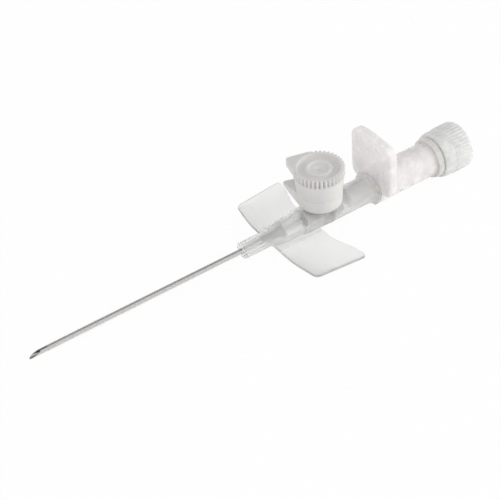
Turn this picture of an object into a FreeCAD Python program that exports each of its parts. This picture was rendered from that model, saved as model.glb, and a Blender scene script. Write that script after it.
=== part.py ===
import FreeCAD, Part
import math
import os

# Winged intravenous cannula with an injection port, of the over-the-needle kind.
# The needle lies along X, its tip at -X and the stopper at +X. Z runs up through the port.
# The origin is the middle of the hub's front face, on the needle's axis. Sizes are in mm.

# Gaps
running_gap = 0.03
seat_gap = 0.02
turning_gap = 0.10
lift_gap = 0.15
overshoot = 1.0

# Needle
needle_radius = 0.535
needle_wall = 0.13
needle_reach = 4.1
needle_back_reach = 1.6
bevel_angle = 20.0
lancet_angle = 34.0
lancet_roll = 50.0

# Catheter, with the steel bush that holds its flared end in the hub
catheter_wall = 0.135
catheter_length = 45.0
catheter_tip_length = 3.0
catheter_tip_wall = 0.05
bush_start = 4.6
bush_wall = 0.10
bush_spigot_length = 2.4
bush_cone_length = 3.0
bush_mouth_radius = 1.55

# Hub body
nose_length = 6.9
nose_radius = 1.82
nose_edge = 0.25
nose_lip = 0.8
shoulder_radius = 2.15
shoulder_length = 2.6
body_radius = 2.55
chamber_radius = 3.00
chamber_reach = 5.9
hub_length = 33.1
rim_length = 1.0
rim_radius = 3.40
lock_lug_radius = 3.90
lock_lug_angle = 80.0

# Conical sockets, with the standard six percent taper on diameter
luer_mouth_radius = 2.15
luer_taper = 0.06
luer_depth = 7.5

# Injection port
port_back_reach = 13.1
tower_radius = 3.85
tower_bottom = -0.50
tower_top = 3.05
neck_radius = 3.20
neck_top = 9.80
port_socket_depth = 6.5
port_hole_radius = 1.00
bead_overhang = 0.30
bead_height = 0.45
valve_length = 9.0
valve_wall = 0.55

# Wings
wing_span = 31.0
wing_front_span = 28.7
wing_thickness = 0.80
wing_height = -1.90
wing_fold = 7.6
wing_rise = 0.10
wing_front_root = 7.1
wing_back_root = 18.0
wing_front_tip = 8.3
wing_back_tip = 20.2
wing_back_bow = 0.6
wing_corner = 1.2
wing_fold_corner = 4.0

# Cap ring and cap
ring_height = 3.00
ring_bottom_radius = 4.62
ring_top_radius = 4.76
ring_lug_root = 4.90
ring_lug_reach = 8.0
ring_lug_direction = 126.0
ring_lug_tip_height = 0.5
cap_top = 12.0
cap_waist_radius = 5.20
cap_rim_height = 1.80
cap_rim_radius = 5.42
cap_rim_depth = 0.24
cap_rim_ribs = 50
cap_lug_root = 5.40
cap_lug_reach = 7.4
cap_lug_direction = 121.0
lug_tip_radius = 0.7
lug_offset = 0.3
cap_face_radius = 4.40
cap_face_sink = 0.70
cap_boss_radius = 2.75
cap_boss_sink = 0.15
cap_dimple_radius = 0.55
cap_dimple_depth = 0.30
cap_plug_length = 2.8
strap_direction = 53.0
strap_width = 2.4
strap_thickness = 0.45
strap_bow = 3.6
strap_span = 4.25

# Needle hub with its grip plate and its flashback chamber
male_nose_length = 6.6
plate_gap = 0.20
plate_thickness = 2.0
plate_width = 13.2
plate_bottom = 0.0
plate_top = 12.9
plate_corner = 2.4
plate_edge = 0.7
barrel_radius = 3.85
barrel_length = 13.8
barrel_floor = 1.7
barrel_bore_radius = 2.80

# Vent plug, its filter and the stopper
plug_skirt_radius = 4.60
plug_skirt_lap = 1.7
plug_skirt_front_radius = 4.20
plug_skirt_taper = 1.2
plug_web = 0.70
plug_spigot_length = 4.0
plug_tube_radius = 3.00
plug_tube_length = 5.6
plug_socket_depth = 5.6
plug_lug_length = 1.0
vent_radius = 0.80
filter_thickness = 1.5
filter_radius = 1.60
stopper_radius = 5.20
stopper_front_radius = 4.75
stopper_front_taper = 1.8
stopper_length = 7.4
stopper_wall = 1.0
stopper_end_wall = 1.4
stopper_edge = 0.5
stopper_nose_length = 3.6
stopper_rib_length = 4.6
stopper_rib_depth = 0.20
stopper_ribs = 40
stopper_end_hollow = 0.6

# Ribs, as shares of the step from one rib to the next
rib_flat_share = 0.22
rib_valley_share = 0.5

# Places that follow from the sizes above
catheter_bore = needle_radius + running_gap
catheter_radius = catheter_bore + catheter_wall
bush_radius = catheter_bore + bush_wall
bush_cone_start = bush_start + bush_spigot_length
bush_end = bush_cone_start + bush_cone_length
flare_radius = bush_radius + catheter_wall
port_x = hub_length - port_back_reach
socket_radius = luer_mouth_radius - luer_taper / 2 * luer_depth
port_socket_radius = luer_mouth_radius - luer_taper / 2 * port_socket_depth
ring_base = tower_top + turning_gap
ring_top = ring_base + ring_height
ring_bore = neck_radius + turning_gap
bead_radius = neck_radius + bead_overhang
bead_base = ring_top + turning_gap
cap_base = ring_top + lift_gap
cap_bore = bead_radius + lift_gap
cap_ceiling = neck_top + lift_gap
cap_waist = cap_top - cap_rim_height
plate_front = hub_length + plate_gap
plate_back = plate_front + plate_thickness
barrel_end = plate_back + barrel_length
plug_skirt_front = barrel_end - plug_skirt_lap
plug_web_front = barrel_end + plate_gap
plug_web_back = plug_web_front + plug_web
plug_tube_end = plug_web_back + plug_tube_length
stopper_front = plug_web_back + plate_gap
stopper_end = stopper_front + stopper_length
stopper_floor = stopper_end - stopper_end_wall

x_axis = FreeCAD.Vector(1, 0, 0)
z_axis = FreeCAD.Vector(0, 0, 1)
port_foot = FreeCAD.Vector(port_x, 0, 0)


def outward(solid):
    if solid.Volume < 0:
        solid.reverse()
    return solid


def turned_along_x(outline):
    """A solid turned about the needle's axis from (x, radius) corners."""
    corners = [FreeCAD.Vector(x, 0, radius) for x, radius in outline]
    face = Part.Face(Part.makePolygon(corners + corners[:1]))
    return outward(face.revolve(FreeCAD.Vector(0, 0, 0), x_axis, 360))


def turned_about_port(outline):
    """A solid turned about the port's axis from (radius, z) corners."""
    corners = [FreeCAD.Vector(port_x + radius, 0, z) for radius, z in outline]
    face = Part.Face(Part.makePolygon(corners + corners[:1]))
    return outward(face.revolve(port_foot, z_axis, 360))


def pulled_up(wire, height):
    """The closed flat wire, pulled straight up into a solid."""
    return outward(Part.Face(wire).extrude(FreeCAD.Vector(0, 0, height)))


def rounded_outline(corners, radii):
    """A closed flat wire through the corners, each one rounded by an arc of its own radius."""
    edges = []
    ends = []
    for index, corner in enumerate(corners):
        radius = radii[index]
        before = (corners[index - 1] - corner).normalize()
        after = (corners[(index + 1) % len(corners)] - corner).normalize()
        half_turn = before.getAngle(after) / 2
        setback = radius / math.tan(half_turn)
        middle = (before + after).normalize() * (radius / math.sin(half_turn) - radius)
        start = corner + before * setback
        end = corner + after * setback
        edges.append(Part.Arc(start, corner + middle, end).toShape())
        ends.append((start, end))
    for index in range(len(corners)):
        edges.append(Part.LineSegment(ends[index - 1][1], ends[index][0]).toShape())
    return Part.Wire(Part.__sortEdges__(edges))


def ribbed_ring(radius, depth, count):
    """A closed wire about Z with evenly spaced ribs that end in narrow flats."""
    corners = []
    step = 2 * math.pi / count
    for index in range(count):
        for share, reach in (
            (-rib_flat_share, radius),
            (rib_flat_share, radius),
            (rib_valley_share, radius - depth),
        ):
            angle = (index + share) * step
            corners.append(FreeCAD.Vector(reach * math.cos(angle), reach * math.sin(angle), 0))
    return Part.makePolygon(corners + corners[:1])


def finger_lug(radius, reach, direction, base, height):
    """A pointed lug that leaves a round rim along its tangents and ends in a small round tip."""
    tip = reach - lug_tip_radius
    lean = math.asin((radius - lug_tip_radius) / tip)
    swing = math.pi / 2 - lean
    rim_points = []
    tip_points = []
    for side in (1, -1):
        across = FreeCAD.Vector(math.cos(swing), side * math.sin(swing), 0)
        rim_points.append(across * radius)
        tip_points.append(FreeCAD.Vector(tip, 0, 0) + across * lug_tip_radius)
    edges = [
        Part.LineSegment(rim_points[0], tip_points[0]).toShape(),
        Part.Arc(tip_points[0], FreeCAD.Vector(reach, 0, 0), tip_points[1]).toShape(),
        Part.LineSegment(tip_points[1], rim_points[1]).toShape(),
        Part.LineSegment(rim_points[1], FreeCAD.Vector(0, 0, 0)).toShape(),
        Part.LineSegment(FreeCAD.Vector(0, 0, 0), rim_points[0]).toShape(),
    ]
    lug = pulled_up(Part.Wire(edges), height)
    lug.translate(FreeCAD.Vector(0, -lug_offset, 0))
    lug.rotate(FreeCAD.Vector(0, 0, 0), z_axis, direction)
    lug.translate(FreeCAD.Vector(port_x, 0, base))
    return lug


def lock_lugs(front, back, inner):
    """The two side lugs of a locking socket, as sectors of one collar."""
    collar = turned_along_x([(front, inner), (front, lock_lug_radius), (back, lock_lug_radius), (back, inner)])
    lugs = []
    for side in (-1, 1):
        half_width = lock_lug_radius * math.sin(math.radians(lock_lug_angle / 2))
        block = Part.makeBox(back - front, lock_lug_radius, 2 * half_width)
        block.translate(FreeCAD.Vector(front, 0 if side > 0 else -lock_lug_radius, -half_width))
        lugs.append(collar.common(block))
    return lugs


def needle_tube():
    """Steel needle with a bevel that faces up and two lancet cuts at its tip."""
    tip = -catheter_length - needle_reach
    back = plate_back + barrel_floor + needle_back_reach
    bore = needle_radius - needle_wall
    tube = turned_along_x([(tip, bore), (tip, needle_radius), (back, needle_radius), (back, bore)])
    tip_point = FreeCAD.Vector(tip, 0, -needle_radius)
    cuts = [(bevel_angle, 0), (lancet_angle, lancet_roll), (lancet_angle, -lancet_roll)]
    reach = needle_reach
    for angle, roll in cuts:
        block = Part.makeBox(2 * reach, 2 * reach, reach)
        block.translate(tip_point + FreeCAD.Vector(-reach / 2, -reach, 0))
        block.rotate(tip_point, FreeCAD.Vector(0, 1, 0), -angle)
        block.rotate(tip_point, x_axis, roll)
        tube = tube.cut(block)
    return tube


def catheter_tube():
    """Plastic catheter with a tapered tip, flared over the bush at its other end."""
    front = -catheter_length
    taper_end = front + catheter_tip_length
    return turned_along_x([
        (front, catheter_bore),
        (front, catheter_bore + catheter_tip_wall),
        (taper_end, catheter_radius),
        (0, catheter_radius),
        (bush_start, flare_radius),
        (bush_cone_start, flare_radius),
        (bush_cone_start, bush_radius),
        (bush_start, bush_radius),
        (0, catheter_bore),
    ])


def catheter_bush():
    """Steel funnel that the catheter is flared over and that guides the needle."""
    mouth_bore = bush_mouth_radius - bush_wall
    return turned_along_x([
        (bush_start, catheter_bore),
        (bush_start, bush_radius),
        (bush_cone_start, bush_radius),
        (bush_end, bush_mouth_radius),
        (bush_end, mouth_bore),
        (bush_cone_start, catheter_bore),
    ])


def wing(side):
    """One wing, flat beside the hub, wider and drooping slightly beyond its fold."""
    tip = wing_span / 2
    bow_y = (wing_fold + tip) / 2
    bow_x = (wing_back_root + wing_back_tip) / 2 + wing_back_bow
    outline = [
        (wing_front_root, 0, wing_corner),
        (wing_front_root, wing_fold, wing_fold_corner),
        (wing_front_tip, wing_front_span / 2, wing_corner),
        (wing_back_tip, tip, wing_corner),
        (bow_x, bow_y, wing_fold_corner),
        (wing_back_root, wing_fold, wing_fold_corner),
        (wing_back_root, 0, wing_corner),
    ]
    corners = [FreeCAD.Vector(x, side * y, 0) for x, y, radius in outline]
    plan = pulled_up(rounded_outline(corners, [radius for x, y, radius in outline]), body_radius)
    plan.translate(FreeCAD.Vector(0, 0, wing_height - body_radius / 2))
    under = wing_height - wing_thickness / 2
    over = wing_height + wing_thickness / 2
    section = [
        FreeCAD.Vector(0, 0, under),
        FreeCAD.Vector(0, side * wing_fold, under),
        FreeCAD.Vector(0, side * tip, under + wing_rise),
        FreeCAD.Vector(0, side * tip, over + wing_rise),
        FreeCAD.Vector(0, side * wing_fold, over),
        FreeCAD.Vector(0, 0, over),
    ]
    sheet = outward(Part.Face(Part.makePolygon(section + section[:1])).extrude(x_axis * hub_length))
    return sheet.common(plan)


def hub_outside():
    """The hub's turned body with its wings, port tower, rim and lock lugs."""
    chamber_start = port_x - chamber_reach
    body = turned_along_x([
        (0, 0),
        (0, nose_radius - nose_edge),
        (nose_edge, nose_radius),
        (nose_length, nose_radius),
        (nose_length, shoulder_radius),
        (nose_length + shoulder_length, body_radius),
        (chamber_start, body_radius),
        (chamber_start, chamber_radius),
        (hub_length - rim_length, chamber_radius),
        (hub_length - rim_length, rim_radius),
        (hub_length, rim_radius),
        (hub_length, 0),
    ])
    tower = turned_about_port([
        (0, tower_bottom),
        (tower_radius, tower_bottom),
        (tower_radius, tower_top),
        (neck_radius, tower_top),
        (neck_radius, bead_base),
        (bead_radius, bead_base + bead_overhang / 2),
        (bead_radius, bead_base + bead_height - bead_overhang / 2),
        (neck_radius, bead_base + bead_height),
        (neck_radius, neck_top),
        (0, neck_top),
    ])
    pieces = [tower, wing(1), wing(-1)]
    pieces += lock_lugs(hub_length - rim_length, hub_length, chamber_radius)
    return body.multiFuse(pieces)


def hub_bores():
    """Everything hollow in the hub: the catheter's seat, the valve chamber and both sockets."""
    along = turned_along_x([
        (-overshoot, 0),
        (-overshoot, catheter_radius + seat_gap),
        (nose_lip, catheter_radius + seat_gap),
        (nose_lip, flare_radius + seat_gap),
        (bush_cone_start, flare_radius + seat_gap),
        (bush_end, bush_mouth_radius + seat_gap),
        (port_x - valve_length / 2, bush_mouth_radius + seat_gap),
        (port_x - valve_length / 2, socket_radius),
        (hub_length - luer_depth, socket_radius),
        (hub_length, luer_mouth_radius),
        (hub_length + overshoot, luer_mouth_radius),
        (hub_length + overshoot, 0),
    ])
    socket_floor = neck_top - port_socket_depth
    port = turned_about_port([
        (0, 0),
        (port_hole_radius, 0),
        (port_hole_radius, socket_floor),
        (port_socket_radius, socket_floor),
        (luer_mouth_radius, neck_top),
        (luer_mouth_radius, neck_top + overshoot),
        (0, neck_top + overshoot),
    ])
    return along, port


def cannula_hub():
    """The clear hub moulding."""
    along, port = hub_bores()
    return hub_outside().cut(along).cut(port).removeSplitter()


def valve_sleeve():
    """Silicone sleeve that closes the port's hole from inside."""
    outside = socket_radius - seat_gap
    front = port_x - valve_length / 2 + seat_gap
    back = port_x + valve_length / 2
    inside = outside - valve_wall
    return turned_along_x([(front, inside), (front, outside), (back, outside), (back, inside)])


def ring_lug():
    """The ring's pointed lug, whose underside slopes up from the ring to a thin tip."""
    lug = finger_lug(ring_lug_root, ring_lug_reach, ring_lug_direction, ring_base, ring_height)
    root = ring_lug_root * (ring_lug_root - lug_tip_radius) / (ring_lug_reach - lug_tip_radius)
    half = ring_lug_reach
    corners = [
        FreeCAD.Vector(root, -half, ring_base),
        FreeCAD.Vector(ring_lug_reach, -half, ring_top - ring_lug_tip_height),
        FreeCAD.Vector(ring_lug_reach + overshoot, -half, ring_top - ring_lug_tip_height),
        FreeCAD.Vector(ring_lug_reach + overshoot, -half, ring_base - overshoot),
        FreeCAD.Vector(root, -half, ring_base - overshoot),
    ]
    face = Part.Face(Part.makePolygon(corners + corners[:1]))
    wedge = outward(face.extrude(FreeCAD.Vector(0, 2 * half, 0)))
    wedge.rotate(FreeCAD.Vector(0, 0, 0), z_axis, ring_lug_direction)
    wedge.translate(port_foot)
    return lug.cut(wedge)


def cap_ring():
    """Ring that turns round the port's neck, with a pointed lug below the cap's own."""
    ring = turned_about_port([
        (0, ring_base),
        (ring_bottom_radius, ring_base),
        (ring_top_radius, ring_top),
        (0, ring_top),
    ])
    ring = ring.fuse(ring_lug())
    foot = FreeCAD.Vector(port_x, 0, ring_base - overshoot)
    bore = Part.makeCylinder(ring_bore, ring_height + 2 * overshoot, foot)
    return ring.cut(bore).removeSplitter()


def port_cap():
    """Cap with a ribbed rim, a sunken face round a boss, and a conical plug inside."""
    face_floor = cap_top - cap_face_sink
    boss_top = cap_top - cap_boss_sink
    wall = turned_about_port([
        (0, cap_base),
        (ring_top_radius, cap_base),
        (cap_waist_radius, cap_waist),
        (cap_waist_radius, cap_top),
        (cap_face_radius, cap_top),
        (cap_face_radius, face_floor),
        (cap_boss_radius, face_floor),
        (cap_boss_radius, boss_top),
        (cap_dimple_radius, boss_top),
        (0, boss_top - cap_dimple_depth),
    ])
    rim = pulled_up(ribbed_ring(cap_rim_radius, cap_rim_depth, cap_rim_ribs), cap_rim_height)
    rim.translate(FreeCAD.Vector(port_x, 0, cap_waist))
    rim = rim.cut(Part.makeCylinder(cap_face_radius, cap_rim_height, FreeCAD.Vector(port_x, 0, cap_waist)))
    lug = finger_lug(cap_lug_root, cap_lug_reach, cap_lug_direction, cap_waist, cap_rim_height)
    lug = lug.cut(Part.makeCylinder(cap_face_radius, cap_rim_height, FreeCAD.Vector(port_x, 0, cap_waist)))
    plug_base = cap_ceiling - cap_plug_length
    plug_top_radius = luer_mouth_radius - lift_gap / 2
    plug_base_radius = plug_top_radius - luer_taper / 2 * cap_plug_length
    hollow = turned_about_port([
        (plug_base_radius, cap_base - overshoot),
        (cap_bore, cap_base - overshoot),
        (cap_bore, cap_ceiling),
        (plug_top_radius, cap_ceiling),
        (plug_base_radius, plug_base),
    ])
    under_plug = Part.makeCylinder(cap_bore, plug_base - cap_base, FreeCAD.Vector(port_x, 0, cap_base))
    return wall.multiFuse([rim, lug]).cut(hollow).cut(under_plug).removeSplitter()


def cap_strap():
    """Thin bowed strap from the ring to the cap, with the slack that lets the cap come off."""
    foot = ring_base + ring_height / 2
    middle = foot + strap_span / 2
    inner = ring_bottom_radius - strap_thickness
    crown = ring_top_radius + strap_bow

    def bow(low, high, reach):
        return Part.Arc(
            FreeCAD.Vector(inner, 0, low), FreeCAD.Vector(reach, 0, middle), FreeCAD.Vector(inner, 0, high)
        ).toShape()

    half = strap_thickness / 2
    outside = bow(foot - half, foot + strap_span + half, crown + half)
    inside = bow(foot + half, foot + strap_span - half, crown - half)
    ends = [
        Part.LineSegment(FreeCAD.Vector(inner, 0, foot - half), FreeCAD.Vector(inner, 0, foot + half)).toShape(),
        Part.LineSegment(
            FreeCAD.Vector(inner, 0, foot + strap_span - half), FreeCAD.Vector(inner, 0, foot + strap_span + half)
        ).toShape(),
    ]
    wire = Part.Wire(Part.__sortEdges__([outside, inside] + ends))
    strap = outward(Part.Face(wire).extrude(FreeCAD.Vector(0, strap_width, 0)))
    strap.translate(FreeCAD.Vector(0, -strap_width / 2, 0))
    strap.rotate(FreeCAD.Vector(0, 0, 0), z_axis, strap_direction)
    strap.translate(port_foot)
    core = turned_about_port([
        (0, ring_base - overshoot),
        (ring_bottom_radius, ring_base - overshoot),
        (ring_bottom_radius, ring_base),
        (ring_top_radius + seat_gap, ring_top),
        (ring_top_radius + seat_gap, cap_base),
        (cap_waist_radius + seat_gap, cap_waist),
        (0, cap_waist),
    ])
    return strap.cut(core)


def needle_hub():
    """Clear moulding of the conical nose, the grip plate and the flashback chamber."""
    nose_front = hub_length - male_nose_length
    nose_base_radius = luer_mouth_radius - running_gap
    nose_end_radius = nose_base_radius - luer_taper / 2 * male_nose_length
    body = turned_along_x([
        (nose_front, 0),
        (nose_front, nose_end_radius),
        (hub_length, nose_base_radius),
        (plate_front, nose_base_radius),
        (plate_front, barrel_radius),
        (barrel_end, barrel_radius),
        (barrel_end, 0),
    ])
    half = plate_width / 2
    corners = [
        FreeCAD.Vector(plate_front, -half, plate_bottom),
        FreeCAD.Vector(plate_front, half, plate_bottom),
        FreeCAD.Vector(plate_front, half, plate_top),
        FreeCAD.Vector(plate_front, -half, plate_top),
    ]
    outline = rounded_outline(corners, [plate_corner] * len(corners))
    plate = outward(Part.Face(outline).extrude(FreeCAD.Vector(plate_thickness, 0, 0)))
    rims = [edge for edge in plate.Edges if abs(edge.BoundBox.XLength) < seat_gap]
    plate = plate.makeChamfer(plate_edge, rims)
    needle_seat = needle_radius + seat_gap
    chamber_floor = plate_back + barrel_floor
    hollow = turned_along_x([
        (nose_front - overshoot, 0),
        (nose_front - overshoot, needle_seat),
        (chamber_floor, needle_seat),
        (chamber_floor, barrel_bore_radius),
        (barrel_end + overshoot, barrel_bore_radius),
        (barrel_end + overshoot, 0),
    ])
    return body.fuse(plate).cut(hollow).removeSplitter()


def vent_plug():
    """Plug in the chamber's mouth, with a skirt round the barrel and a locking socket behind."""
    spigot_radius = barrel_bore_radius - seat_gap
    spigot_front = plug_web_front - plug_spigot_length
    skirt_bore = barrel_radius + seat_gap
    filter_back = spigot_front + filter_thickness
    socket_floor = plug_tube_end - plug_socket_depth
    lug_root_radius = (luer_mouth_radius + plug_tube_radius) / 2
    outside = turned_along_x([
        (spigot_front, 0),
        (spigot_front, spigot_radius),
        (plug_web_front, spigot_radius),
        (plug_web_front, skirt_bore),
        (plug_skirt_front, skirt_bore),
        (plug_skirt_front, plug_skirt_front_radius),
        (plug_skirt_front + plug_skirt_taper, plug_skirt_radius),
        (plug_web_back, plug_skirt_radius),
        (plug_web_back, plug_tube_radius),
        (plug_tube_end, plug_tube_radius),
        (plug_tube_end, 0),
    ])
    lugs = lock_lugs(plug_tube_end - plug_lug_length, plug_tube_end, lug_root_radius)
    socket_floor_radius = luer_mouth_radius - luer_taper / 2 * plug_socket_depth
    hollow = turned_along_x([
        (spigot_front - overshoot, 0),
        (spigot_front - overshoot, filter_radius + seat_gap),
        (filter_back, filter_radius + seat_gap),
        (filter_back, vent_radius),
        (socket_floor, vent_radius),
        (socket_floor, socket_floor_radius),
        (plug_tube_end, luer_mouth_radius),
        (plug_tube_end + overshoot, luer_mouth_radius),
        (plug_tube_end + overshoot, 0),
    ])
    return outside.multiFuse(lugs).cut(hollow).removeSplitter()


def vent_filter():
    """Porous disc that lets air out of the chamber and holds blood back."""
    front = plug_web_front - plug_spigot_length
    return Part.makeCylinder(filter_radius, filter_thickness, FreeCAD.Vector(front, 0, 0), x_axis)


def luer_stopper():
    """Stopper with a ribbed skirt over the locking socket and a conical nose inside it."""
    skirt_bore = lock_lug_radius + lift_gap
    nose_base_radius = luer_mouth_radius - running_gap
    nose_front = stopper_floor - stopper_nose_length
    nose_end_radius = nose_base_radius - luer_taper / 2 * stopper_nose_length - running_gap
    rib_start = stopper_end - stopper_rib_length
    skirt = turned_along_x([
        (stopper_front, skirt_bore),
        (stopper_front, stopper_front_radius),
        (stopper_front + stopper_front_taper, stopper_radius),
        (stopper_end - stopper_edge, stopper_radius),
        (stopper_end, stopper_radius - stopper_edge),
        (stopper_end, stopper_radius - stopper_wall),
        (stopper_end - stopper_end_hollow, stopper_radius - stopper_wall),
        (stopper_end - stopper_end_hollow, 0),
        (nose_front, 0),
        (nose_front, nose_end_radius),
        (stopper_floor, nose_base_radius),
        (stopper_floor, skirt_bore),
    ])
    ribs = pulled_up(
        ribbed_ring(stopper_radius + stopper_rib_depth, stopper_rib_depth, stopper_ribs),
        stopper_rib_length - stopper_edge,
    )
    ribs = ribs.cut(Part.makeCylinder(stopper_radius - stopper_edge, stopper_rib_length))
    ribs.rotate(FreeCAD.Vector(0, 0, 0), FreeCAD.Vector(0, 1, 0), 90)
    ribs.translate(FreeCAD.Vector(rib_start, 0, 0))
    return skirt.fuse(ribs).removeSplitter()


pieces = {
    "catheter_tube": catheter_tube,
    "catheter_bush": catheter_bush,
    "cannula_hub": cannula_hub,
    "valve_sleeve": valve_sleeve,
    "cap_ring": cap_ring,
    "cap_strap": cap_strap,
    "port_cap": port_cap,
    "needle_tube": needle_tube,
    "needle_hub": needle_hub,
    "vent_plug": vent_plug,
    "vent_filter": vent_filter,
    "luer_stopper": luer_stopper,
}

os.makedirs("parts", exist_ok=True)
for name, make in pieces.items():
    shape = make()
    box = shape.BoundBox
    print(name, shape.isValid(), len(shape.Solids), round(shape.Volume, 2),
          round(box.XMin, 2), round(box.XMax, 2), round(box.ZMin, 2), round(box.ZMax, 2))
    shape.exportStep("parts/" + name + ".step")
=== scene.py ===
import math

import bmesh
import bpy
from mathutils import Matrix, Vector


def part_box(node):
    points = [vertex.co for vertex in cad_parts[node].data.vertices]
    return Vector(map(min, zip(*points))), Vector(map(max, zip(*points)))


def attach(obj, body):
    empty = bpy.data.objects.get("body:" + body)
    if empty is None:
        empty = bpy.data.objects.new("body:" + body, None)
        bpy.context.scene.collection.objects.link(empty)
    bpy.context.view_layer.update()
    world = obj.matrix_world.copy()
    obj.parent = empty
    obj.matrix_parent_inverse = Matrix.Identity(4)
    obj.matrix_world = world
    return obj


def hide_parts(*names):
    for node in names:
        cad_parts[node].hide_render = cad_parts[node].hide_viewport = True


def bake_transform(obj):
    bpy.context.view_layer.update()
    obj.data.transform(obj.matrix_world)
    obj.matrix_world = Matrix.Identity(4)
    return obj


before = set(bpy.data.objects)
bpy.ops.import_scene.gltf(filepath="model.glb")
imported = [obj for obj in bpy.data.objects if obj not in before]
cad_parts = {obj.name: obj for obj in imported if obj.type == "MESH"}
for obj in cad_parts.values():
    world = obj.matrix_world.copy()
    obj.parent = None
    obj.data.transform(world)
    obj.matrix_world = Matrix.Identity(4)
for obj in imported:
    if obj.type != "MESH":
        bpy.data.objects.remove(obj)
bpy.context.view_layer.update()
print("frame loaded with", len(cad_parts), "nodes")

mm = 0.001
portX = (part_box("port_cap")[0].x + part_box("port_cap")[1].x) / 2 / mm
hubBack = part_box("cannula_hub")[1].x / mm
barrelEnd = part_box("needle_hub")[1].x / mm
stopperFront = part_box("luer_stopper")[0].x / mm
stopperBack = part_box("luer_stopper")[1].x / mm
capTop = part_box("port_cap")[1].z / mm


# Mesh helpers. Shapes are made in millimetres and brought to metres when they are finished.

def turned(profile, axis="x", centre=0.0, steps=96, closed=False):
    # profile: corners as (along the axis, radius, rounding)
    bm = bmesh.new()
    corners = []
    for along, radius, rounding in profile:
        spot = (along, 0, radius) if axis == "x" else (centre + radius, 0, along)
        corners.append(bm.verts.new(spot))
    last = len(corners) if closed else len(corners) - 1
    for index in range(last):
        bm.edges.new((corners[index], corners[(index + 1) % len(corners)]))
    for size in sorted({rounding for along, radius, rounding in profile if rounding}):
        picked = [vert for vert, corner in zip(corners, profile) if corner[2] == size]
        bmesh.ops.bevel(bm, geom=picked, offset=size, offset_type="OFFSET", segments=4,
                        profile=0.5, affect="VERTICES", clamp_overlap=True, material=-1)
    turn = (1, 0, 0) if axis == "x" else (0, 0, 1)
    middle = (0, 0, 0) if axis == "x" else (centre, 0, 0)
    bmesh.ops.spin(bm, geom=bm.verts[:] + bm.edges[:], cent=middle, axis=turn,
                   angle=2 * math.pi, steps=steps, use_merge=True, use_duplicate=False)
    return bm


def raised(outline, low, high, edge=0.0, segments=3):
    # outline: flat corners as (x, y, rounding), pulled up from low to high with its rims rounded
    bm = bmesh.new()
    corners = [bm.verts.new((x, y, low)) for x, y, rounding in outline]
    bm.faces.new(corners)
    for size in sorted({rounding for x, y, rounding in outline if rounding}):
        picked = [vert for vert, corner in zip(corners, outline) if corner[2] == size]
        bmesh.ops.bevel(bm, geom=picked, offset=size, offset_type="OFFSET", segments=8,
                        profile=0.5, affect="VERTICES", clamp_overlap=True, material=-1)
    return pulledUp(bm, high - low, edge, segments)


def pulledUp(bm, height, edge, segments):
    grown = bmesh.ops.extrude_face_region(bm, geom=bm.faces[:], use_keep_orig=True)
    moved = [item for item in grown["geom"] if isinstance(item, bmesh.types.BMVert)]
    bmesh.ops.translate(bm, verts=moved, vec=(0, 0, height))
    if edge:
        flat = 0.001
        rims = [e for e in bm.edges if abs(e.verts[0].co.z - e.verts[1].co.z) < flat]
        bmesh.ops.bevel(bm, geom=rims, offset=edge, offset_type="OFFSET", segments=segments,
                        profile=0.5, affect="EDGES", clamp_overlap=True, material=-1)
    return bm


def ribbedDisc(radius, depth, count, low, high, edge):
    # a disc about Z whose rim rises and falls in rounded ribs
    perRib = 8  # sides to each rib
    bm = bmesh.new()
    bmesh.ops.create_circle(bm, cap_ends=True, segments=perRib * count, radius=radius)
    for vert in bm.verts:
        turnOf = math.atan2(vert.co.y, vert.co.x) * count
        swell = math.sqrt(0.5 + 0.5 * math.cos(turnOf))
        vert.co *= (radius - depth * (1 - swell)) / radius
        vert.co.z = low
    return pulledUp(bm, high - low, edge, 2)


def fingerLug(radius, reach, tipRadius, direction, offset, low, high, edge):
    # tangents from a round rim to a small round tip, about the port's axis and a little to one side
    lean = math.acos((radius - tipRadius) / (reach - tipRadius))
    tipSetback = tipRadius * math.tan(lean)
    outline = []
    for side in (-1, 1):
        outline.append((radius * math.cos(lean), side * radius * math.sin(lean), 0))
    point = radius / math.cos(lean)
    outline.insert(1, (point, 0, tipSetback))
    outline.append((0, 0, 0))
    bm = raised(outline, low, high, edge)
    bmesh.ops.translate(bm, verts=bm.verts, vec=(0, -offset, 0))
    bmesh.ops.rotate(bm, verts=bm.verts, cent=(0, 0, 0),
                     matrix=Matrix.Rotation(math.radians(direction), 3, "Z"))
    bmesh.ops.translate(bm, verts=bm.verts, vec=(portX, 0, 0))
    return bm


def trimmed(bm, spot, away):
    # cuts off what lies beyond a plane and closes the cut
    cut = bmesh.ops.bisect_plane(bm, geom=bm.verts[:] + bm.edges[:] + bm.faces[:],
                                 plane_co=spot, plane_no=away, clear_outer=True)
    rim = [item for item in cut["geom_cut"] if isinstance(item, bmesh.types.BMEdge)]
    bmesh.ops.holes_fill(bm, edges=rim)
    return bm


def lockingLug(front, back, root, radius, rounding, half, side):
    # one of the two lugs for a locking thread: a slice of a ring, flat above and below
    sunk, middle = 0.2, 0.5
    bm = turned([
        (front, root - sunk, 0), (front, radius, rounding),
        (back, radius, rounding), (back, root - sunk, 0),
    ], closed=True)
    trimmed(bm, (0, 0, half), (0, 0, 1))
    trimmed(bm, (0, 0, -half), (0, 0, -1))
    return trimmed(bm, (0, side * middle, 0), (0, -side, 0))


def placed(bm, name):
    nearlySame = 0.0005
    bmesh.ops.remove_doubles(bm, verts=bm.verts, dist=nearlySame)
    bmesh.ops.recalc_face_normals(bm, faces=bm.faces)
    mesh = bpy.data.meshes.new(name)
    bm.to_mesh(mesh)
    bm.free()
    piece = bpy.data.objects.new(name, mesh)
    bpy.context.scene.collection.objects.link(piece)
    return piece


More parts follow.
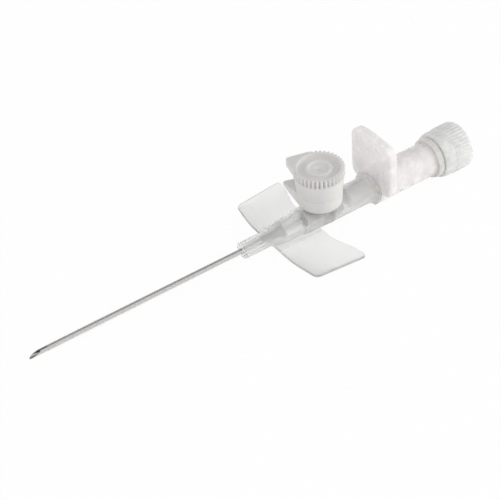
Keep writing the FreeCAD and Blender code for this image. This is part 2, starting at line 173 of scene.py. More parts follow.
def combined(piece, tools, operation):
    # joins or cuts with every tool shape, which are then removed
    for tool in tools:
        step = piece.modifiers.new(tool.name, "BOOLEAN")
        step.object = tool
        step.operation = operation
        step.solver = "EXACT"
    bpy.context.view_layer.update()
    graph = bpy.context.evaluated_depsgraph_get()
    whole = bpy.data.meshes.new_from_object(piece.evaluated_get(graph))
    piece.modifiers.clear()
    piece.data = whole
    for tool in tools:
        bpy.data.objects.remove(tool)
    return piece


def finished(piece, material, slot, *nodes, body=None):
    sharpFrom = 32  # degrees between faces
    piece.data.transform(Matrix.Scale(mm, 4))
    piece.data.shade_smooth()
    piece.data.set_sharp_from_angle(angle=math.radians(sharpFrom))
    piece.data.materials.clear()
    piece.data.materials.append(material)
    if body:
        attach(piece, body)
    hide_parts(*nodes)
    print("made", piece.name, "with", len(piece.data.polygons), "faces")
    return piece


# Material helpers

noiseSpan = {"From Min": 0.35, "From Max": 0.65}  # where most of a noise pattern lies


def hexColour(text):
    channels = [int(text[place:place + 2], 16) / 255 for place in (1, 3, 5)]
    linear = [c / 12.92 if c <= 0.04045 else ((c + 0.055) / 1.055) ** 2.4 for c in channels]
    return (*linear, 1.0)


def addNode(tree, kind, settings=None, links=None):
    node = tree.nodes.new(kind)
    for key, value in (settings or {}).items():
        if isinstance(key, int) or key in node.inputs:
            node.inputs[key].default_value = value
        else:
            setattr(node, key, value)
    for key, source in (links or {}).items():
        tree.links.new(source, node.inputs[key])
    return node


def blankMaterial(name):
    material = bpy.data.materials.new(name)
    material.use_nodes = True
    material.node_tree.nodes.clear()
    return material, material.node_tree


def steelTube(name, colour, roughness):
    # Stainless steel tube, drawn and electropolished: bright, with faint lines along its length
    lines = {"width": 0.08, "length": 6.0, "bump": 0.12, "depth": 0.02}
    material, tree = blankMaterial(name)
    where = addNode(tree, "ShaderNodeTexCoord")
    across = 1 / (lines["width"] * mm)
    stretch = (1 / (lines["length"] * mm), across, across)
    mapped = addNode(tree, "ShaderNodeMapping", {"Scale": stretch}, {"Vector": where.outputs["Object"]})
    grain = addNode(tree, "ShaderNodeTexNoise", {"Scale": 1.0, "Detail": 2.0},
                    {"Vector": mapped.outputs["Vector"]})
    rough = addNode(tree, "ShaderNodeMapRange", {"To Min": roughness * 0.6, "To Max": roughness * 1.6},
                    {"Value": grain.outputs["Fac"]})
    bump = addNode(tree, "ShaderNodeBump", {"Strength": lines["bump"], "Distance": lines["depth"] * mm},
                   {"Height": grain.outputs["Fac"]})
    shader = addNode(tree, "ShaderNodeBsdfPrincipled",
                     {"Base Color": hexColour(colour), "Metallic": 1.0},
                     {"Roughness": rough.outputs["Result"], "Normal": bump.outputs["Normal"]})
    addNode(tree, "ShaderNodeOutputMaterial", None, {"Surface": shader.outputs["BSDF"]})
    return material


def clearMoulding(name, colour, values):
    # Clear injection-moulded plastic: glossy where the tool was polished, with soft flow marks, and
    # frosted on its flat outer parts where the tool was spark eroded
    material, tree = blankMaterial(name)
    where = addNode(tree, "ShaderNodeTexCoord")
    flow = addNode(tree, "ShaderNodeTexNoise", {"Scale": 1 / (values["flowSize"] * mm), "Detail": 2.0},
                   {"Vector": where.outputs["Object"]})
    rough = addNode(tree, "ShaderNodeMapRange",
                    {**noiseSpan, "To Min": values["roughness"] * 0.7, "To Max": values["roughness"] * 1.4},
                    {"Value": flow.outputs["Fac"]})
    bump = addNode(tree, "ShaderNodeBump", {"Strength": values["bump"], "Distance": 0.05 * mm},
                   {"Height": flow.outputs["Fac"]})
    shader = addNode(tree, "ShaderNodeBsdfPrincipled",
                     {"Base Color": hexColour(colour), "IOR": values["ior"],
                      "Transmission Weight": values["clearness"], "Alpha": values["cover"]},
                     {"Roughness": rough.outputs["Result"], "Normal": bump.outputs["Normal"]})
    if "frostFrom" in values:
        side = addNode(tree, "ShaderNodeSeparateXYZ", None, {"Vector": where.outputs["Object"]})
        reach = addNode(tree, "ShaderNodeMath", {"operation": "ABSOLUTE"}, {0: side.outputs["Y"]})
        fade = 0.5
        frosted = {"From Min": (values["frostFrom"] - fade) * mm, "From Max": values["frostFrom"] * mm}
        clear = addNode(tree, "ShaderNodeMapRange",
                        {**frosted, "To Min": values["clearness"], "To Max": values["frostClearness"]},
                        {"Value": reach.outputs[0]})
        cover = addNode(tree, "ShaderNodeMapRange", {**frosted, "To Min": values["cover"], "To Max": 1.0},
                        {"Value": reach.outputs[0]})
        matt = addNode(tree, "ShaderNodeMapRange",
                       {**frosted, "To Min": 0.0, "To Max": values["frostRoughness"]},
                       {"Value": reach.outputs[0]})
        total = addNode(tree, "ShaderNodeMath", {"operation": "ADD"},
                        {0: rough.outputs["Result"], 1: matt.outputs["Result"]})
        tree.links.new(clear.outputs["Result"], shader.inputs["Transmission Weight"])
        tree.links.new(cover.outputs["Result"], shader.inputs["Alpha"])
        tree.links.new(total.outputs[0], shader.inputs["Roughness"])
    addNode(tree, "ShaderNodeOutputMaterial", None, {"Surface": shader.outputs["BSDF"]})
    return material


def milkyMoulding(name, colour, values):
    # Milky injection-moulded plastic: soft and bright, with what lies inside showing through it faintly
    milk = {"unevenness": 0.06, "softness": 0.5}
    material, tree = blankMaterial(name)
    where = addNode(tree, "ShaderNodeTexCoord")
    flow = addNode(tree, "ShaderNodeTexNoise", {"Scale": 1 / (values["flowSize"] * mm), "Detail": 2.0},
                   {"Vector": where.outputs["Object"]})
    cover = addNode(tree, "ShaderNodeMapRange",
                    {**noiseSpan, "To Min": values["cover"] - milk["unevenness"],
                     "To Max": values["cover"] + milk["unevenness"]}, {"Value": flow.outputs["Fac"]})
    rough = addNode(tree, "ShaderNodeMapRange",
                    {**noiseSpan, "To Min": values["roughness"] * 0.8, "To Max": values["roughness"] * 1.2},
                    {"Value": flow.outputs["Fac"]})
    shader = addNode(tree, "ShaderNodeBsdfPrincipled",
                     {"Base Color": hexColour(colour), "IOR": values["ior"],
                      "Subsurface Weight": milk["softness"], "Subsurface Radius": (1.0, 1.0, 1.0),
                      "Subsurface Scale": values["depth"] * mm},
                     {"Roughness": rough.outputs["Result"], "Alpha": cover.outputs["Result"]})
    addNode(tree, "ShaderNodeOutputMaterial", None, {"Surface": shader.outputs["BSDF"]})
    return material


def satinMoulding(name, colour, values):
    # Satin polyethylene: white through and through, with a fine spark-eroded skin
    material, tree = blankMaterial(name)
    where = addNode(tree, "ShaderNodeTexCoord")
    skin = addNode(tree, "ShaderNodeTexNoise", {"Scale": 1 / (values["grainSize"] * mm), "Detail": 4.0},
                   {"Vector": where.outputs["Object"]})
    bump = addNode(tree, "ShaderNodeBump", {"Strength": values["bump"], "Distance": 0.02 * mm},
                   {"Height": skin.outputs["Fac"]})
    shader = addNode(tree, "ShaderNodeBsdfPrincipled",
                     {"Base Color": hexColour(colour), "IOR": 1.51, "Roughness": values["roughness"],
                      "Subsurface Weight": values["depth"], "Subsurface Radius": (1.0, 0.95, 0.9),
                      "Subsurface Scale": 0.8 * mm},
                     {"Normal": bump.outputs["Normal"]})
    addNode(tree, "ShaderNodeOutputMaterial", None, {"Surface": shader.outputs["BSDF"]})
    return material


drawnSteel = steelTube("drawnStainlessSteel", "#cfcdca", 0.2)
turnedSteel = steelTube("pressedStainlessSteel", "#a5a3a0", 0.3)  # duller, as it leaves the press
# extruded and glossy, so clear that the steel inside shows as if it were bare
catheterClear = clearMoulding("clearFluoropolymerTube", "#fdfdfd", {
    "flowSize": 4.0, "roughness": 0.03, "bump": 0.0, "ior": 1.35, "clearness": 1.0, "cover": 1.0,
})
# a little cloudy, with its wings frosted
hubClear = clearMoulding("clearPolypropylene", "#fefefd", {
    "flowSize": 1.8, "roughness": 0.15, "bump": 0.1, "ior": 1.49, "clearness": 0.70, "cover": 0.72,
    "frostFrom": 3.9, "frostClearness": 0.97, "frostRoughness": 0.25,
})
# thick walls, which turn the same plastic milky and faintly warm
needleHubClear = milkyMoulding("milkyPolypropylene", "#fffaf9", {
    "flowSize": 2.0, "roughness": 0.25, "ior": 1.49, "cover": 0.72, "depth": 1.2,
})
# yellower and matter than its neighbours
plugFrosted = milkyMoulding("frostedStyrene", "#faf7f0", {
    "flowSize": 1.5, "roughness": 0.3, "ior": 1.52, "cover": 0.76, "depth": 2.0,
})
# waxy and the least clear of them
stopperFrosted = milkyMoulding("milkyPolyethylene", "#eeefed", {
    "flowSize": 1.2, "roughness": 0.36, "ior": 1.51, "cover": 0.82, "depth": 2.0,
})
# grains drawn several times coarser than the real skin's, so that they show at all
capWhite = satinMoulding("whitePolyethylene", "#dedcda", {
    "grainSize": 0.25, "bump": 0.12, "roughness": 0.42, "depth": 0.08,
})
# the silicone's own grey, darkened further as painted shade for the shadow the cap casts on the tower
# around it
siliconeGreyAndShade = satinMoulding("translucentSiliconeAndShade", "#b7b4b1", {
    "grainSize": 0.5, "bump": 0.1, "roughness": 0.5, "depth": 0.3,
})
# pressed from coarse powder, dull and grainy
filterWhite = satinMoulding("sinteredFilter", "#e2e2de", {
    "grainSize": 0.12, "bump": 0.6, "roughness": 0.8, "depth": 0.1,
})
print("materials made")


# CAD pieces whose shape is right keep it and get their finish

kept = {
    "valve_sleeve": siliconeGreyAndShade,
    "vent_filter": filterWhite,
}
for nodeName, material in kept.items():
    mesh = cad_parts[nodeName].data
    mesh.materials.clear()
    mesh.materials.append(material)


# Needle, catheter and the bush that holds its flare, at the solids' sizes with smooth rounds

needle = {
    "radius": 0.535, "wall": 0.13, "reach": 4.1, "bevel": 20.0, "lancet": 34.0, "lancetRoll": 50.0,
    "steps": 64,
}
catheter = {"wall": 0.135, "gap": 0.03, "length": 45.0, "tipLength": 3.0, "tipWall": 0.05, "steps": 64}
bush = {"start": 4.6, "wall": 0.10, "spigot": 2.4, "cone": 3.0, "mouth": 1.55}
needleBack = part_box("needle_tube")[1].x / mm
catheterBore = needle["radius"] + catheter["gap"]
catheterRadius = catheterBore + catheter["wall"]
coneStart = bush["start"] + bush["spigot"]


def needleMesh():
    tip = -catheter["length"] - needle["reach"]
    bore = needle["radius"] - needle["wall"]
    return turned([
        (tip, bore, 0), (tip, needle["radius"], 0),
        (needleBack, needle["radius"], 0), (needleBack, bore, 0),
    ], steps=needle["steps"], closed=True)


def grindingBlock(angle, roll):
    # what the grinding wheel takes off the needle's tip, about the tip's lowest point
    reach = needle["reach"]
    bm = bmesh.new()
    bmesh.ops.create_cube(bm, size=1.0)
    bmesh.ops.scale(bm, verts=bm.verts, vec=(2 * reach, 2 * reach, reach))
    bmesh.ops.translate(bm, verts=bm.verts, vec=(reach / 2, 0, reach / 2))
    for degrees, turn in ((-angle, "Y"), (roll, "X")):
        bmesh.ops.rotate(bm, verts=bm.verts, cent=(0, 0, 0),
                         matrix=Matrix.Rotation(math.radians(degrees), 3, turn))
    bmesh.ops.translate(bm, verts=bm.verts, vec=(-catheter["length"] - reach, 0, -needle["radius"]))
    return placed(bm, "grindingBlock")


def catheterMesh():
    front = -catheter["length"]
    spigot = catheterBore + bush["wall"]
    return turned([
        (front, catheterBore, 0), (front, catheterBore + catheter["tipWall"], 0),
        (front + catheter["tipLength"], catheterRadius, 0), (0, catheterRadius, 0),
        (bush["start"], spigot + catheter["wall"], 0), (coneStart, spigot + catheter["wall"], 0),
        (coneStart, spigot, 0), (bush["start"], spigot, 0), (0, catheterBore, 0),
    ], steps=catheter["steps"], closed=True)


def bushMesh():
    spigot = catheterBore + bush["wall"]
    end = coneStart + bush["cone"]
    return turned([
        (bush["start"], catheterBore, 0), (bush["start"], spigot, 0), (coneStart, spigot, 0),
        (end, bush["mouth"], 0), (end, bush["mouth"] - bush["wall"], 0), (coneStart, catheterBore, 0),
    ], closed=True)


needlePiece = placed(needleMesh(), "needleTube")
grinds = [grindingBlock(needle["bevel"], 0), grindingBlock(needle["lancet"], needle["lancetRoll"]),
          grindingBlock(needle["lancet"], -needle["lancetRoll"])]
needlePiece = combined(needlePiece, grinds, "DIFFERENCE")
finished(needlePiece, drawnSteel, "steel", "needle_tube", body="needle")
catheterPiece = placed(catheterMesh(), "catheterTube")
finished(catheterPiece, catheterClear, "catheter_clear", "catheter_tube", body="cannula")
finished(placed(bushMesh(), "catheterBush"), turnedSteel, "steel", "catheter_bush", body="cannula")


# Hub with its wings, port tower and neck

hub = {
    "nose": 1.82, "noseLength": 6.9, "noseEdge": 0.3,
    "shoulder": 2.15, "shoulderLength": 2.6, "body": 2.55, "chamber": 3.00, "chamberReach": 5.9,
    "rimLength": 1.0, "rim": 3.40, "lockLug": 3.90, "lockLugHalf": 2.51,
    "tower": 3.85, "towerBottom": -0.50, "towerTop": 3.05, "neck": 3.20, "neckTop": 9.80,
    "bead": 3.50, "beadBase": 6.25, "beadHeight": 0.45, "edge": 0.18, "stepEdge": 0.08, "fineEdge": 0.1,
    "blend": 0.6, "rimRoot": 0.12, "towerFoot": 0.2, "towerEdge": 0.3, "neckEdge": 0.15,
}
wing = {
    "height": -1.90, "thickness": 0.80, "fold": 7.6, "rise": 0.10, "frontRoot": 7.1, "backRoot": 18.0,
    "frontTip": 8.3, "backTip": 20.2, "backBow": 0.6, "frontSpan": 28.7, "span": 31.0,
    "corner": 1.0, "foldCorner": 2.0, "foldWidth": 0.2, "edge": 0.3,
}
socket = {
    "mouth": 2.15, "slope": 0.03, "depth": 7.5, "portDepth": 6.5, "portHole": 1.00,
    "shaft": 0.72, "lip": 0.8, "flare": 0.82, "spigotEnd": 7.0, "bushEnd": 10.0, "bushMouth": 1.57,
    "valveFront": 15.5,
}
chamberStart = portX - hub["chamberReach"]
rimStart = hubBack - hub["rimLength"]


def hubBody():
    soft = hub["edge"]
    return turned([
        (0, 0, 0),
        (0, hub["nose"], hub["noseEdge"]),
        (hub["noseLength"], hub["nose"], hub["stepEdge"]),
        (hub["noseLength"], hub["shoulder"], hub["fineEdge"]),
        (hub["noseLength"] + hub["shoulderLength"], hub["body"], hub["blend"]),
        (chamberStart, hub["body"], hub["fineEdge"]),
        (chamberStart, hub["chamber"], soft),
        (rimStart, hub["chamber"], hub["rimRoot"]),
        (rimStart, hub["rim"], soft),
        (hubBack, hub["rim"], soft),
        (hubBack, 0, 0),
    ])


def hubTower():
    return turned([
        (hub["towerBottom"], 0, 0),
        (hub["towerBottom"], hub["tower"], hub["towerFoot"]),
        (hub["towerTop"], hub["tower"], hub["towerEdge"]),
        (hub["towerTop"], hub["neck"], hub["stepEdge"]),
        (hub["beadBase"], hub["neck"], 0),
        (hub["beadBase"] + hub["beadHeight"] / 2, hub["bead"], hub["fineEdge"]),
        (hub["beadBase"] + hub["beadHeight"], hub["neck"], 0),
        (hub["neckTop"], hub["neck"], hub["neckEdge"]),
        (hub["neckTop"], 0, 0),
    ], axis="z", centre=portX)


def hubWing(side):
    tip = wing["span"] / 2
    backMiddle = (wing["backRoot"] + wing["backTip"]) / 2 + wing["backBow"]
    outline = [
        (wing["frontRoot"], 0, 0),
        (wing["frontRoot"], wing["fold"], wing["foldCorner"]),
        (wing["frontTip"], wing["frontSpan"] / 2, wing["corner"]),
        (wing["backTip"], tip, wing["corner"]),
        (backMiddle, (wing["fold"] + tip) / 2, wing["foldCorner"]),
        (wing["backRoot"], wing["fold"], wing["foldCorner"]),
        (wing["backRoot"], 0, 0),
    ]
    if side < 0:
        outline = [(x, -y, rounding) for x, y, rounding in reversed(outline)]
    low = wing["height"] - wing["thickness"] / 2
    bm = raised(outline, low, low + wing["thickness"], wing["edge"])
    for share in (1 - wing["foldWidth"], 1, 1 + wing["foldWidth"]):
        bmesh.ops.bisect_plane(bm, geom=bm.verts[:] + bm.edges[:] + bm.faces[:],
                               plane_co=(0, side * wing["fold"] * share, 0), plane_no=(0, 1, 0))
    for vert in bm.verts:
        beyond = max(0.0, abs(vert.co.y) - wing["fold"])
        vert.co.z += wing["rise"] * beyond / (tip - wing["fold"])
    return bm


def hubBores():
    deep = socket["mouth"] - socket["slope"] * socket["depth"]
    along = turned([
        (-1, 0, 0), (-1, socket["shaft"], 0), (socket["lip"], socket["shaft"], 0),
        (socket["lip"], socket["flare"], 0), (socket["spigotEnd"], socket["flare"], 0),
        (socket["bushEnd"], socket["bushMouth"], 0), (socket["valveFront"], socket["bushMouth"], 0),
        (socket["valveFront"], deep, 0), (hubBack - socket["depth"], deep, 0),
        (hubBack, socket["mouth"], 0), (hubBack + 1, socket["mouth"], 0), (hubBack + 1, 0, 0),
    ])
    floor = hub["neckTop"] - socket["portDepth"]
    port = turned([
        (0, 0, 0), (0, socket["portHole"], 0), (floor, socket["portHole"], 0),
        (floor, socket["mouth"] - socket["slope"] * socket["portDepth"], 0),
        (hub["neckTop"], socket["mouth"], 0), (hub["neckTop"] + 1, socket["mouth"], 0),
        (hub["neckTop"] + 1, 0, 0),
    ], axis="z", centre=portX)
    return [placed(along, "boreAlong"), placed(port, "borePort")]


hubPiece = placed(hubBody(), "hubMoulding")
extras = [placed(hubTower(), "tower")]
for side in (-1, 1):
    lug = lockingLug(rimStart, hubBack, hub["chamber"], hub["lockLug"], hub["edge"],
                     hub["lockLugHalf"], side)
    extras += [placed(hubWing(side), "wing"), placed(lug, "lockLug")]
hubPiece = combined(hubPiece, extras, "UNION")
hubPiece = combined(hubPiece, hubBores(), "DIFFERENCE")
finished(hubPiece, hubClear, "hub_clear", "cannula_hub", body="cannula")


# Cap, its ring and the strap that keeps it

cap = {
    "base": 6.18, "lowRadius": 4.86, "waistRadius": 5.20, "rimHeight": 1.80, "rimRadius": 5.42,
    "ribDepth": 0.62, "ribRoot": 4.80, "ribs": 36, "faceRadius": 4.35, "faceSink": 0.70, "bossRadius": 2.75,
    "bossSink": 0.20, "bossRing": 0.6, "bossFloor": 0.3, "bossSlope": 0.2, "dimpleRadius": 0.85,
    "dimpleBottom": 0.3, "dimpleDepth": 0.45, "softEdge": 0.12, "faceEdge": 0.15, "faceSlope": 0.15,
    "fineEdge": 0.08, "waistEdge": 0.06, "rimEdge": 0.1, "rimBore": 4.6, "lugDrop": 0.02,
    "bore": 3.65, "ceiling": 9.95,
    "plugRadius": 2.075, "plugEnd": 1.99, "plugLength": 2.8,
    "lugRoot": 5.40, "lugReach": 7.4, "lugTip": 0.7, "lugDirection": 121, "lugOffset": 0.3, "lugEdge": 0.18,
}
ring = {
    "base": 3.15, "height": 3.00, "lowRadius": 4.62, "topRadius": 4.86, "bore": 3.30, "edge": 0.04,
    "footEdge": 0.22, "lugRoot": 4.90, "lugReach": 8.0, "lugDirection": 126, "lugTipHeight": 0.5,
}
strap = {
    "direction": 53, "width": 2.4, "thickness": 0.45, "bow": 3.6, "span": 4.25, "edge": 0.08, "steps": 28,
}


def slopedLug():
    # the ring's lug, whose underside slopes up from the ring to a thin tip
    top = ring["base"] + ring["height"]
    bm = fingerLug(ring["lugRoot"], ring["lugReach"], cap["lugTip"], ring["lugDirection"],
                   cap["lugOffset"], ring["base"], top, cap["lugEdge"])
    root = ring["lugRoot"] * (ring["lugRoot"] - cap["lugTip"]) / (ring["lugReach"] - cap["lugTip"])
    slope = math.atan2(ring["height"] - ring["lugTipHeight"], ring["lugReach"] - root)
    direction = math.radians(ring["lugDirection"])
    away = Vector((math.cos(direction), math.sin(direction), 0))
    foot = Vector((portX, 0, ring["base"])) + away * root
    return trimmed(bm, foot, away * math.sin(slope) - Vector((0, 0, math.cos(slope))))


def capBody():
    waist = capTop - cap["rimHeight"]
    face = capTop - cap["faceSink"]
    boss = capTop - cap["bossSink"]
    floor = boss - cap["bossFloor"]
    return turned([
        (floor - cap["dimpleDepth"], 0, 0),
        (floor - cap["dimpleDepth"], cap["dimpleBottom"], cap["fineEdge"]),
        (floor, cap["dimpleRadius"], cap["softEdge"]),
        (floor, cap["bossRadius"] - cap["bossRing"] - cap["bossSlope"], cap["fineEdge"]),
        (boss, cap["bossRadius"] - cap["bossRing"], cap["faceEdge"]),
        (boss, cap["bossRadius"], cap["faceEdge"]),
        (face, cap["bossRadius"] + cap["faceSlope"], cap["faceEdge"]),
        (face, cap["faceRadius"], cap["faceEdge"]),
        (capTop, cap["faceRadius"] + cap["faceSlope"], cap["softEdge"]),
        (capTop, cap["ribRoot"], 0),
        (waist, cap["ribRoot"], 0),
        (waist, cap["waistRadius"], cap["waistEdge"]),
        (cap["base"], cap["lowRadius"], ring["edge"]),
        (cap["base"], cap["bore"], cap["faceEdge"]),
        (cap["ceiling"], cap["bore"], 0),
        (cap["ceiling"], cap["plugRadius"], 0),
        (cap["ceiling"] - cap["plugLength"], cap["plugEnd"], cap["faceEdge"]),
        (cap["ceiling"] - cap["plugLength"], 0, 0),
    ], axis="z", centre=portX)


def capRim():
    bm = ribbedDisc(cap["rimRadius"], cap["ribDepth"], cap["ribs"], capTop - cap["rimHeight"], capTop,
                    cap["rimEdge"])
    bmesh.ops.translate(bm, verts=bm.verts, vec=(portX, 0, 0))
    return bm


def capFaceCut():
    return turned([
        (capTop - cap["rimHeight"] - 1, 0, 0), (capTop - cap["rimHeight"] - 1, cap["rimBore"], 0),
        (capTop + 1, cap["rimBore"], 0), (capTop + 1, 0, 0),
    ], axis="z", centre=portX)


capPiece = placed(capBody(), "capMoulding")
rimPiece = placed(capRim(), "capRim")
capLug = fingerLug(cap["lugRoot"], cap["lugReach"], cap["lugTip"], cap["lugDirection"], cap["lugOffset"],
                   capTop - cap["rimHeight"], capTop - cap["lugDrop"], cap["lugEdge"])
rimPiece = combined(rimPiece, [placed(capLug, "capLug")], "UNION")
rimPiece = combined(rimPiece, [placed(capFaceCut(), "capFace")], "DIFFERENCE")
capPiece = combined(capPiece, [rimPiece], "UNION")
finished(capPiece, capWhite, "cap_white", "port_cap", body="cap")

ringPiece = placed(turned([
    (ring["base"], 0, 0), (ring["base"], ring["lowRadius"], ring["footEdge"]),
    (ring["base"] + ring["height"], ring["topRadius"], ring["edge"]), (ring["base"] + ring["height"], 0, 0),
], axis="z", centre=portX), "ringMoulding")
ringLug = placed(slopedLug(), "ringLug")
ringBore = placed(turned([
    (ring["base"] - 1, 0, 0), (ring["base"] - 1, ring["bore"], 0),
    (ring["base"] + ring["height"] + 1, ring["bore"], 0), (ring["base"] + ring["height"] + 1, 0, 0),
], axis="z", centre=portX), "ringBore")
ringPiece = combined(ringPiece, [ringLug], "UNION")
ringPiece = combined(ringPiece, [ringBore], "DIFFERENCE")
finished(ringPiece, capWhite, "cap_white", "cap_ring", body="ring")


def strapMesh():
    # a flat section swept up over a shallow bow from the ring to the cap
    foot = ring["base"] + ring["height"] / 2
    inner = ring["lowRadius"] - strap["thickness"] / 2
    bm = bmesh.new()
    half = strap["width"] / 2
    thick = strap["thickness"] / 2
    section = [bm.verts.new((inner, y, foot + z)) for y, z in
               ((-half, -thick), (half, -thick), (half, thick), (-half, thick))]
    bm.faces.new(section)
    bmesh.ops.bevel(bm, geom=section, offset=strap["edge"], offset_type="OFFSET", segments=2,
                    profile=0.5, affect="VERTICES", clamp_overlap=True, material=-1)
    reach = ring["topRadius"] + strap["bow"] - inner
    swing = 2 * math.atan2(strap["span"] / 2, reach)
    radius = math.hypot(strap["span"] / 2, reach) / 2 / math.cos(math.pi / 2 - swing)
    centre = (inner + reach - radius, 0, foot + strap["span"] / 2)
    sweep = 2 * (math.pi - swing)
    bmesh.ops.spin(bm, geom=bm.faces[:], cent=centre, axis=(0, -1, 0), angle=sweep,
                   steps=strap["steps"], use_merge=False, use_duplicate=False)
    bmesh.ops.rotate(bm, verts=bm.verts, cent=(0, 0, 0),
                     matrix=Matrix.Rotation(math.radians(strap["direction"]), 3, "Z"))
    bmesh.ops.translate(bm, verts=bm.verts, vec=(portX, 0, 0))
    return bm


strapPiece = finished(placed(strapMesh(), "capTether"), capWhite, "cap_white", "cap_strap")
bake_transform(strapPiece)


# Needle hub: nose, grip plate and flashback chamber

needleHub = {
    "noseLength": 6.6, "noseRadius": 2.12, "plateGap": 0.2, "plateThickness": 2.0, "plateWidth": 13.2,
    "plateBottom": 0.0, "plateTop": 12.5, "plateBow": 0.55, "bowRounding": 3.0, "plateCorner": 2.4,
    "plateEdge": 0.4, "barrel": 3.85, "floor": 1.7, "bore": 2.80, "boreEdge": 0.2, "needleSeat": 0.555,
    "edge": 0.15,
}
plateFront = hubBack + needleHub["plateGap"]
plateBack = plateFront + needleHub["plateThickness"]
chamberFloor = plateBack + needleHub["floor"]


def needleHubBody():
    noseTip = needleHub["noseRadius"] - socket["slope"] * needleHub["noseLength"]
    return turned([
        (hubBack - needleHub["noseLength"], 0, 0),
        (hubBack - needleHub["noseLength"], noseTip, needleHub["edge"]),
        (hubBack, needleHub["noseRadius"], 0),
        (plateFront, needleHub["noseRadius"], 0),
        (plateFront, needleHub["barrel"], 0),
        (barrelEnd, needleHub["barrel"], needleHub["edge"]),
        (barrelEnd, 0, 0),
    ])


def gripPlate():
    half = needleHub["plateWidth"] / 2
    corner = needleHub["plateCorner"]
    low, high = needleHub["plateBottom"], needleHub["plateTop"]
    bm = raised([(-high, -half, corner), (-low, -half, corner), (-low, half, corner), (-high, half, corner),
                 (-high - needleHub["plateBow"], 0, needleHub["bowRounding"])],
                plateFront, plateBack, needleHub["plateEdge"], 5)
    bmesh.ops.rotate(bm, verts=bm.verts, cent=(0, 0, 0), matrix=Matrix.Rotation(math.radians(90), 3, "Y"))
    return bm


def needleHubHollow():
    front = hubBack - needleHub["noseLength"]
    return turned([
        (front - 1, 0, 0), (front - 1, needleHub["needleSeat"], 0),
        (chamberFloor, needleHub["needleSeat"], 0),
        (chamberFloor, needleHub["bore"], needleHub["boreEdge"]),
        (barrelEnd + 1, needleHub["bore"], 0), (barrelEnd + 1, 0, 0),
    ])


needleHubPiece = placed(needleHubBody(), "needleHubMoulding")
needleHubPiece = combined(needleHubPiece, [placed(gripPlate(), "plate")], "UNION")
needleHubPiece = combined(needleHubPiece, [placed(needleHubHollow(), "chamber")], "DIFFERENCE")
finished(needleHubPiece, needleHubClear, "needle_hub_clear", "needle_hub", body="needle")


# Vent plug and the stopper on it

plug = {
    "skirt": 4.60, "skirtFront": 4.42, "skirtTaper": 0.8, "lap": 0.4, "web": 0.70, "spigotLength": 4.0,
    "spigot": 2.78, "spigotEdge": 0.1, "tube": 3.00, "tubeLength": 5.6, "lugLength": 1.0, "lugHalf": 2.51,
    "lugRadius": 3.90, "lugEdge": 0.12, "filterLength": 1.5, "filter": 1.62, "vent": 0.80,
    "skirtBore": 3.87, "taperEdge": 0.4, "edge": 0.15,
}
stopper = {
    "radius": 5.20, "frontRadius": 4.95, "frontTaper": 0.9, "frontEdge": 0.3, "endWall": 1.4, "edge": 0.5,
    "wall": 1.0, "wallEdge": 0.15, "endHollow": 0.6, "hollowSlope": 0.3, "noseLength": 3.6,
    "noseRadius": 2.12, "noseGap": 0.03, "noseEdge": 0.2, "bore": 4.05, "boreEdge": 0.1,
    "ribLength": 4.6, "ribDepth": 0.14, "ribSunk": 0.05, "ribEdge": 0.12, "ribCore": 4.9, "ribs": 40,
}
webFront = barrelEnd + needleHub["plateGap"]
webBack = webFront + plug["web"]
tubeEnd = webBack + plug["tubeLength"]
spigotFront = webFront - plug["spigotLength"]
skirtFront = barrelEnd - plug["lap"]


def plugMesh():
    mouthEnd = socket["mouth"] - socket["slope"] * plug["tubeLength"]
    filterBack = spigotFront + plug["filterLength"]
    soft = plug["edge"]
    return turned([
        (spigotFront, plug["filter"], 0), (spigotFront, plug["spigot"], plug["spigotEdge"]),
        (webFront, plug["spigot"], 0),
        (webFront, plug["skirtBore"], 0), (skirtFront, plug["skirtBore"], 0),
        (skirtFront, plug["skirtFront"], soft),
        (skirtFront + plug["skirtTaper"], plug["skirt"], plug["taperEdge"]),
        (webBack, plug["skirt"], soft), (webBack, plug["tube"], 0),
        (tubeEnd, plug["tube"], soft), (tubeEnd, socket["mouth"], 0), (webBack, mouthEnd, 0),
        (webBack, plug["vent"], 0), (filterBack, plug["vent"], 0), (filterBack, plug["filter"], 0),
    ], closed=True)


def plugLug(side):
    return lockingLug(tubeEnd - plug["lugLength"], tubeEnd, plug["tube"], plug["lugRadius"],
                      plug["lugEdge"], plug["lugHalf"], side)


def stopperBody():
    floor = stopperBack - stopper["endWall"]
    noseFront = floor - stopper["noseLength"]
    noseTip = stopper["noseRadius"] - socket["slope"] * stopper["noseLength"] - stopper["noseGap"]
    inner = stopper["radius"] - stopper["wall"]
    return turned([
        (noseFront, 0, 0), (noseFront, noseTip, stopper["noseEdge"]), (floor, stopper["noseRadius"], 0),
        (floor, stopper["bore"], 0), (stopperFront, stopper["bore"], stopper["boreEdge"]),
        (stopperFront, stopper["frontRadius"], stopper["frontEdge"]),
        (stopperFront + stopper["frontTaper"], stopper["radius"], stopper["edge"]),
        (stopperBack, stopper["radius"], stopper["edge"]),
        (stopperBack, inner, stopper["wallEdge"]),
        (stopperBack - stopper["endHollow"], inner - stopper["hollowSlope"], stopper["frontEdge"]),
        (stopperBack - stopper["endHollow"], 0, 0),
    ])


def stopperRibs():
    bm = ribbedDisc(stopper["radius"] + stopper["ribDepth"], stopper["ribDepth"] + stopper["ribSunk"],
                    stopper["ribs"], 0, stopper["ribLength"] - stopper["edge"], stopper["ribEdge"])
    bmesh.ops.rotate(bm, verts=bm.verts, cent=(0, 0, 0), matrix=Matrix.Rotation(math.radians(90), 3, "Y"))
    bmesh.ops.translate(bm, verts=bm.verts, vec=(stopperBack - stopper["ribLength"], 0, 0))
    return bm


plugPiece = placed(plugMesh(), "ventPlug")
plugPiece = combined(plugPiece, [placed(plugLug(side), "plugLug") for side in (-1, 1)], "UNION")
finished(plugPiece, plugFrosted, "plug_frosted", "vent_plug", body="needle")

